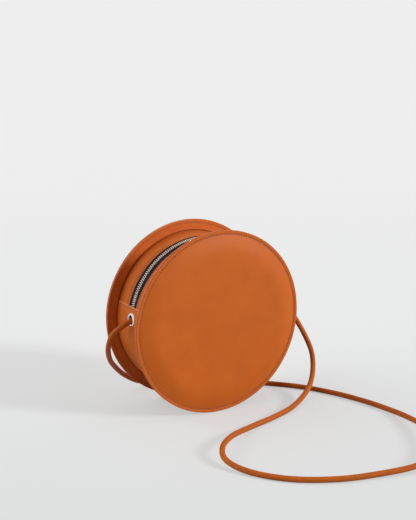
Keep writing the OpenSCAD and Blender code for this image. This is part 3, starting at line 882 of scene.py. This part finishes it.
def make_eyelet(name, cad_node, a):
    """A pressed eyelet: rolled inner lip, soft outer slope, barrel, and the flare over the washer."""
    lip = quarter(BORE_R + LIP_R, CROWN - LIP_R, LIP_R, 180, 80, 9)
    lip_r, lip_top = lip[-1]
    slope_r = np.linspace(lip_r, RING_HALF, 9)[1:]
    share = (slope_r - lip_r) / (RING_HALF - lip_r)
    slope = SKIRT + (lip_top - SKIRT) * np.sqrt(np.clip(1 - share**2.4, 0, 1))
    flare_r = BARREL_R + 0.85 * MM
    flare_low = FLARE_R + 0.1 * MM
    flare_top = FLARE_R + FLARE_T
    profile = np.concatenate(
        [
            [[BORE_R, flare_low], [BORE_R, SIDE_R - 1 * MM]],
            lip,
            np.stack([slope_r, slope], axis=-1),
            [[RING_HALF - 0.3 * MM, SKIRT - 0.05 * MM], [BARREL_R, SKIRT]],
            [[BARREL_R, FLARE_R + 0.5 * MM], [flare_r, flare_top], [flare_r, flare_low]],
            quarter(BORE_R + 0.6 * MM, flare_top, FLARE_T, 270, 200, 4),
        ]
    )
    # Painted shade: what lies below the leather's surface, inside the hole, gets the darkened metal.
    marks = (profile[:, 1] < BARREL_SHADE_FROM).astype(int)
    piece = Piece()
    piece.sweep(turned_rings(profile, a, 96), ring_closed=True, marks=marks)
    metals = [EYELET_METAL, SHADED_BARREL_METAL]
    piece.make(name, metals, slot="eyelet_metal", stands_for=[cad_node], sharp=EYELET_SHARP_A)


# Thread
RIM_STITCH = 2.2 * MM
SIDE_STITCH = 2.4 * MM
STITCH_RISE = 0.12 * MM
STITCH_DIVE = 0.55 * MM
STITCH_SLANT = 7
PLY_LENGTH = 0.6 * MM
FACE_SUNK = 0.22 * MM
RING_SUNK = 0.02 * MM
ZIP_SUNK = 0.06 * MM
CROSS_SUNK = 0.08 * MM
ROW_ENDS = 2 * MM


def stitch_mesh(length):
    """One stitch: a thread that lies proud of the leather and goes into it at both ends."""
    t = np.linspace(-1, 1, 11)
    height = STITCH_RISE - STITCH_DIVE * np.abs(t) ** 5
    line = np.stack([length / 2 * np.sin(t * math.pi / 2), np.zeros(len(t)), height], axis=-1)
    rings, grain = tube_rings(line, THREAD_R * (1 - 0.12 * t**4), 8)
    piece = Piece()
    piece.sweep(rings, caps=True, grain=grain * (1.2, 1.2, GRAIN_LENGTH / PLY_LENGTH))
    return np.concatenate(piece.points), piece.faces, np.concatenate(piece.grain)


def stitch_frames(places, along, up):
    """Frames of stitches that lie at places, turned a little from the seam's line."""
    along, up = np.broadcast_to(along, places.shape), np.broadcast_to(up, places.shape)
    across = np.cross(up, along)
    c, s = math.cos(math.radians(STITCH_SLANT)), math.sin(math.radians(STITCH_SLANT))
    return np.stack([places, c * along + s * across, c * across - s * along, up], axis=1)


def middles(start, end, pitch):
    """The middles of equal steps from start to end, each about a pitch long."""
    count = round((end - start) / pitch)
    return start + (np.arange(count) + 0.5) * (end - start) / count


def make_rim_seam(name, cad_node, way):
    """A rim's stitches, on the panel's face and on the ring's."""
    mesh = stitch_mesh(RIM_STITCH)
    a = np.arange(STITCHES) * 360 / STITCHES
    piece = Piece()
    for depth, facing in ((RIM_V - FACE_SUNK, way), (RING_V + RING_SUNK, -way)):
        at = place(a, SEAM_R, way * depth)
        piece.copies(mesh, stitch_frames(at, outward(a + 90), (0.0, -facing, 0.0)))
    piece.make(name, [THREAD], slot="thread", stands_for=[cad_node])


def make_side_seams():
    """The stitch rows beside the zip and below the cross seams."""
    mesh = stitch_mesh(SIDE_STITCH)
    piece = Piece()
    a = middles(SEAM_A + arc(ROW_ENDS), 180 - SEAM_A - arc(ROW_ENDS), arc(STITCH_PITCH))
    fall = edge_fall(ZIP_SEAM_IN) * (1 - HELD_FALL * held(a))
    for way in (FRONT, BACK):
        depth = ZIP_EDGE[way] + edge_shift(way, a) + ZIP_SEAM_IN
        at = place(a, ZIP_PANEL_R - fall - ZIP_SUNK, way * depth)
        piece.copies(mesh, stitch_frames(at, outward(a + 90), outward(a)))
    v = middles(ROW_ENDS - RING_V, RING_V - ROW_ENDS, STITCH_PITCH)
    for a in (SEAM_A - arc(CROSS_SEAM_IN), 180 - SEAM_A + arc(CROSS_SEAM_IN)):
        at = place(a, SIDE_R - CROSS_SUNK, v)
        piece.copies(mesh, stitch_frames(at, (0.0, 1.0, 0.0), outward(a)))
    piece.make("side_thread", [THREAD], slot="thread")


# Zip
TEETH = 99
TOOTH_W = 0.98 * MM
HEAD_SHARE = 0.8
HEAD_LOWER = 0.3 * MM
TOOTH_BEVEL = 0.16 * MM
SMOOTH_W = 1.6 * MM
RIBS_FROM = 2 * MM
RIB = 0.05 * MM
TAPE_DROP = 0.06 * MM


def make_tape(name, cad_node, way):
    """A tape, smooth under the teeth, with fine ribs along it beyond them."""
    angles = spread_angles(ZIP_FROM_A, ZIP_TO_A, 0.25)
    smooth = np.linspace(TAPE_FROM, TAPE_FROM + SMOOTH_W, 9)
    ribbed = np.linspace(TAPE_FROM + RIBS_FROM, TAPE_TO, 24)
    depths = np.concatenate([smooth, ribbed])
    ribs = RIB * np.concatenate([np.zeros(len(smooth)), np.resize([-1, 1], len(ribbed))])
    outer = np.broadcast_to(TAPE_R - TAPE_DROP - ribs, (len(angles), len(depths)))
    piece = shell(angles, ZIP_V + way * depths, outer, TAPE_IN)
    piece.make(name, [TAPE], slot="zip_tape", stands_for=[cad_node])


def tooth_mesh():
    """One tooth, with X along the zip, Y across it and Z outward: a rounded bar with a slimmer head."""
    b = bmesh.new()
    bmesh.ops.create_cube(b, size=1)
    for v in b.verts:
        head = v.co.y < 0
        v.co.x *= TOOTH_W * (HEAD_SHARE if head else 1)
        v.co.y = (TEETH_TO + TEETH_FROM) / 2 + v.co.y * (TEETH_TO - TEETH_FROM)
        v.co.z *= TEETH_R - TEETH_IN - (2 * HEAD_LOWER if head else 0)
    bmesh.ops.bevel(b, geom=b.edges[:], offset=TOOTH_BEVEL, segments=3, profile=0.5, affect="EDGES")
    b.verts.ensure_lookup_table()
    points = np.array([v.co for v in b.verts])
    faces = [tuple(v.index for v in f.verts) for f in b.faces]
    b.free()
    return points, faces, None


def make_teeth(name, cad_node, way):
    _, _, _, _, first, last = turned_box(cad_node)
    trim = math.degrees(math.atan(TOOTH_W / 2 / TEETH_IN))
    a = np.linspace(first + trim, last - trim, TEETH)
    at = place(a, (TEETH_R + TEETH_IN) / 2, ZIP_V)
    across = np.broadcast_to((0.0, -way, 0.0), at.shape)
    piece = Piece()
    piece.copies(tooth_mesh(), np.stack([at, outward(a + 90), across, outward(a)], axis=1))
    piece.make(name, [ZIP_METAL], slot="zip_metal", stands_for=[cad_node])


# Linings, thinner than their CAD solids, so that their waves stay inside them. FACE_CLOTH is where a
# face lining's two sides lie over the CAD one's inner side.
FACE_CLOTH = (0.5 * MM, 0.1 * MM)
FACE_CLOTH_WAVE = 14 * MM
FACE_CLOTH_HEIGHT = 0.08 * MM
CLOTH_INSET = 0.12 * MM
CLOTH_WAVE = 12 * MM
CLOTH_HEIGHT = 0.1 * MM
CLOTH_STEP = 1.2
CLOTH_END_GAP = 0.6


def make_face_lining(name, cad_node, way):
    """A disc of cotton, glued behind the board."""
    out = np.linspace(0, FACE_LINING_R, 26)
    r = np.concatenate([out, out[::-1]])
    v = FACE_LINING_V + np.repeat(FACE_CLOTH, len(out))
    points = place(np.arange(0, 360, 2.5)[:, None], r, way * v)
    points[..., 1] -= ripple(points * (1, 0, 1), FACE_CLOTH_WAVE, FACE_CLOTH_HEIGHT)
    piece = Piece()
    piece.sweep(points, ring_closed=True, points_closed=False, grain=points[..., [0, 2, 1]])
    made = piece.make(name, [LINING], slot="lining", stands_for=[cad_node])


def make_side_lining(name, cad_node, angles, depths, r_out, r_in, rests_on):
    """A strip of cotton, glued under a side strip."""
    wave = ripple(place(angles[:, None], r_out, depths), CLOTH_WAVE, CLOTH_HEIGHT)
    piece = shell(angles, depths, r_out - CLOTH_INSET + wave, r_in + CLOTH_INSET + wave)
    made = piece.make(name, [LINING], slot="lining", stands_for=[cad_node])
    return made


def make_linings():
    make_face_lining("front_lining_cloth", "front_lining", FRONT)
    make_face_lining("back_lining_cloth", "back_lining", BACK)
    around = spread_angles(180 - ZIP_FROM_A + CLOTH_END_GAP, 360 + ZIP_FROM_A - CLOTH_END_GAP, CLOTH_STEP)
    across = np.linspace(-LINING_V, LINING_V, 40)
    radii = (LOW_LINING_R, LOW_LINING_IN)
    low = make_side_lining("side_lining_cloth", "lower_strip_lining", around, across, *radii, "lower_strip")
    cut_eyelet_holes(low)
    around = spread_angles(SEAM_A, 180 - SEAM_A, CLOTH_STEP)
    radii = (ZIP_LINING_R, ZIP_LINING_IN)
    for side, way in (("front", FRONT), ("back", BACK)):
        across = way * np.linspace(ZIP_EDGE[way], LINING_V, 20)
        name, cad_node = f"zip_lining_cloth_{side}", f"zip_lining_{side}"
        make_side_lining(name, cad_node, around, across, *radii, f"zip_tape_{side}")


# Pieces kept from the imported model
SLIDER_BEVEL = 0.18 * MM
STOP_BEVEL = 0.12 * MM
WASHER_BEVEL = 0.15 * MM
BEVEL_FROM_A = 38
JOIN_WITHIN = 0.002 * MM


def dress(cad_node, material, bevel=None):
    """Gives a CAD node its material and, with a bevel, soft edges."""
    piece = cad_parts[cad_node]
    piece.data.materials.clear()
    piece.data.materials.append(material)
    if bevel:
        weld = piece.modifiers.new("joined", "WELD")
        weld.merge_threshold = JOIN_WITHIN
        soft = piece.modifiers.new("soft_edges", "BEVEL")
        soft.width = bevel
        soft.segments = 3
        soft.limit_method = "ANGLE"
        soft.angle_limit = math.radians(BEVEL_FROM_A)


# Light and floor. FORWARD is the camera's way along the floor, whose colour changes between two
# distances along it.
FLOOR_HALF = 60
FLOOR_Z = -0.05 * MM
FLOOR_GLOW = 0.55
FLOOR_BOUNCE = 0.4
FORWARD = (0.5139, 0.8579, 0)
FLOOR_NEAR, FLOOR_FAR = -0.4, 3.6


def dot(tree, a, b):
    return node(tree, "ShaderNodeVectorMath", {0: a, 1: b}, operation="DOT_PRODUCT").outputs["Value"]


def seen_directly(tree):
    """1 for what the camera sees, also in metal and through glass, and 0 for what lights a surface."""
    path = node(tree, "ShaderNodeLightPath").outputs
    seen = maths(tree, "ADD", path["Is Camera Ray"], path["Is Glossy Ray"])
    return maths(tree, "ADD", seen, path["Is Transmission Ray"], use_clamp=True)


def make_floor():
    """A wide pale floor, a little darker towards the camera, as in the photograph."""
    mesh = bpy.data.meshes.new("floor")
    corners = [(-1, -1), (1, -1), (1, 1), (-1, 1)]
    mesh.from_pydata([(x * FLOOR_HALF, y * FLOOR_HALF, FLOOR_Z) for x, y in corners], [], [(0, 1, 2, 3)])
    material, tree, shader = new_material("floor_paper")
    away = dot(tree, object_place(tree), FORWARD)
    share = node(tree, "ShaderNodeMapRange", {0: away, 1: FLOOR_NEAR, 2: FLOOR_FAR}).outputs[0]
    colour = ramp(
        tree,
        share,
        (0.0, linear(223, 224, 225)),
        (0.06, linear(228, 230, 230)),
        (0.15, linear(236, 237, 237)),
        (0.4, linear(240, 240, 240)),
        (1.0, linear(241, 241, 241)),
    )
    seen = seen_directly(tree)
    bounce = (FLOOR_BOUNCE, FLOOR_BOUNCE, FLOOR_BOUNCE, 1)
    base = mixed(tree, seen, bounce, colour)
    feed(tree, shader, {"Base Color": base, "Roughness": 0.9, "Specular IOR Level": 0.0})
    glow = node(tree, "ShaderNodeEmission", {"Color": colour, "Strength": 1})
    share = maths(tree, "MULTIPLY", seen, FLOOR_GLOW)
    both = node(tree, "ShaderNodeMixShader", {0: share, 1: shader.outputs[0], 2: glow.outputs[0]})
    feed(tree, tree.nodes["Material Output"], {"Surface": both.outputs[0]})
    mesh.materials.append(material)
    put("floor", mesh)


# The room's strength, less on one side and more on another, and a lamp
SKY = 0.5
SKY_DIM_WAY = (-0.75, -0.62, 0.24)
SKY_DIM = 1.0
SKY_DIM_POWER = 1.4
SKY_SIDE_WAY = (-0.85, 0.38, 0.36)
SKY_SIDE = 3.0
SKY_SIDE_POWER = 6
SKY_SEEN = 0.86
KEY_TOWARD = (-0.572, 0.728, -0.379)
KEY_STRENGTH = 2.22
KEY_ANGLE = 12


def lobe(tree, way, toward, power):
    """1 in one direction, falling to 0 a quarter turn from it."""
    return maths(tree, "POWER", maths(tree, "MAXIMUM", dot(tree, way, toward), 0.0), power)


def make_light():
    """A pale room, dim behind the camera's left, bright at the far left, and a key light from the right."""
    world = bpy.data.worlds.new("studio")
    world.use_nodes = True
    bpy.context.scene.world = world
    tree = world.node_tree
    way = node(tree, "ShaderNodeTexCoord").outputs["Generated"]
    room = spans(tree, lobe(tree, way, SKY_DIM_WAY, SKY_DIM_POWER), SKY, SKY * (1 - SKY_DIM))
    side = spans(tree, lobe(tree, way, SKY_SIDE_WAY, SKY_SIDE_POWER), 0, SKY_SIDE)
    shares = {0: seen_directly(tree), 2: maths(tree, "ADD", room, side), 3: SKY_SEEN}
    strength = node(tree, "ShaderNodeMix", shares, data_type="FLOAT").outputs[0]
    feed(tree, tree.nodes["Background"], {"Strength": strength, "Color": (1, 1, 1, 1)})
    lamp = bpy.data.lights.new("key", "SUN")
    lamp.energy = KEY_STRENGTH
    lamp.angle = math.radians(KEY_ANGLE)
    put("key", lamp, KEY_TOWARD)


bpy.context.scene.view_settings.view_transform = "Standard"
make_camera()
strap, strap_line = make_strap()
knots = [make_knot("knot_in_left", "knot_left"), make_knot("knot_in_right", "knot_right")]
make_panel("front_face", "front_panel", FRONT)
make_panel("back_face", "back_panel", BACK)
make_rim_ring("front_rim", "front_rim_ring", FRONT)
make_rim_ring("back_rim", "back_rim_ring", BACK)
make_rim_seam("front_thread", "front_stitches", FRONT)
make_rim_seam("back_thread", "back_stitches", BACK)
make_lower_strip()
make_zip_panel("zip_side_front", "zip_panel_front", FRONT)
make_zip_panel("zip_side_back", "zip_panel_back", BACK)
make_side_seams()
make_tape("tape_front", "zip_tape_front", FRONT)
make_tape("tape_back", "zip_tape_back", BACK)
make_teeth("teeth_front", "zip_teeth_front", FRONT)
make_teeth("teeth_back", "zip_teeth_back", BACK)
make_eyelet("eyelet_ring_left", "eyelet_left", 180 - EYELET_A)
make_eyelet("eyelet_ring_right", "eyelet_right", EYELET_A)
make_linings()
for cad_node in ("zip_slider", "zip_pull"):
    dress(cad_node, ZIP_METAL, SLIDER_BEVEL)
for cad_node in ("zip_bottom_stop", "zip_top_stops"):
    dress(cad_node, ZIP_METAL, STOP_BEVEL)
for cad_node in ("eyelet_washer_left", "eyelet_washer_right"):
    dress(cad_node, EYELET_METAL, WASHER_BEVEL)
for cad_node in ("front_board", "back_board"):
    dress(cad_node, BOARD)
make_floor()
make_light()
